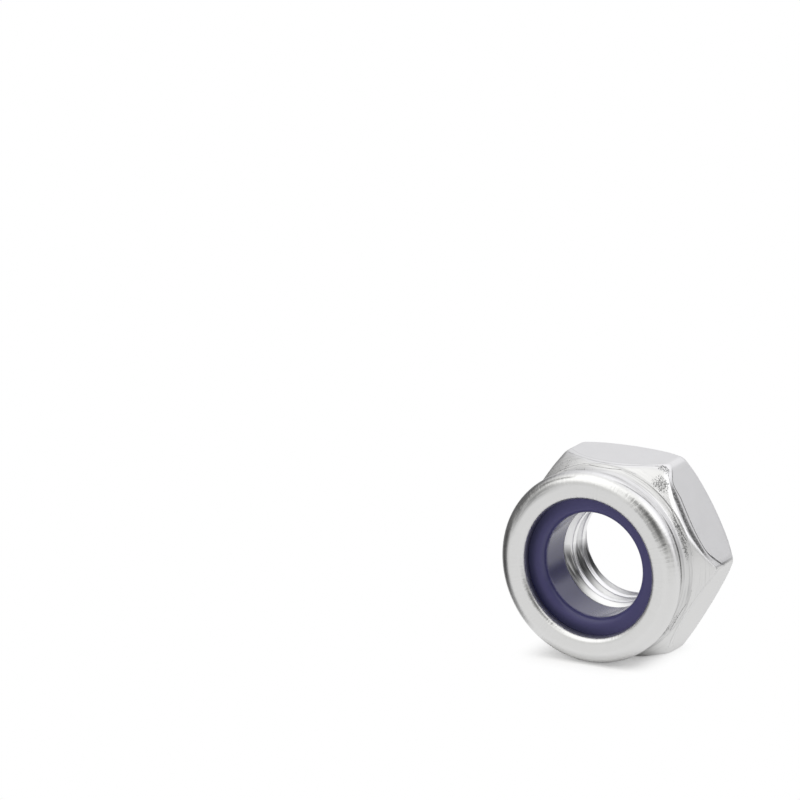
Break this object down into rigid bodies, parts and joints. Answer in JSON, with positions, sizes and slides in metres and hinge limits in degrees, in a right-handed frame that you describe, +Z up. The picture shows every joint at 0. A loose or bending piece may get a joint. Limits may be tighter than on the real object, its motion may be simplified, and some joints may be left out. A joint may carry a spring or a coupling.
{
  "type": "hex lock nut",
  "caption": "Hexagonal lock nut with a rolled-in collar that holds a nylon ring, so the ring grips the bolt's thread and the nut can't shake loose.",
  "frame": {"origin": "centre of the threaded bore, in the plane of the bearing face", "axes": "+Y along the bore and out of the bearing face, so the collar faces -Y; +Z up, square to the flat that lies on top; +X across the corners. The nut rests on its lowest flat, 5 mm below the origin"},
  "size_m": [0.0114, 0.0057, 0.01],
  "materials": {
    "stainless_steel": "satin",
    "nylon": "gloss"
  },
  "bodies": {
    "root": {"nut_body": "stainless_steel", "nylon_insert": "nylon"}
  },
  "joints": []
}
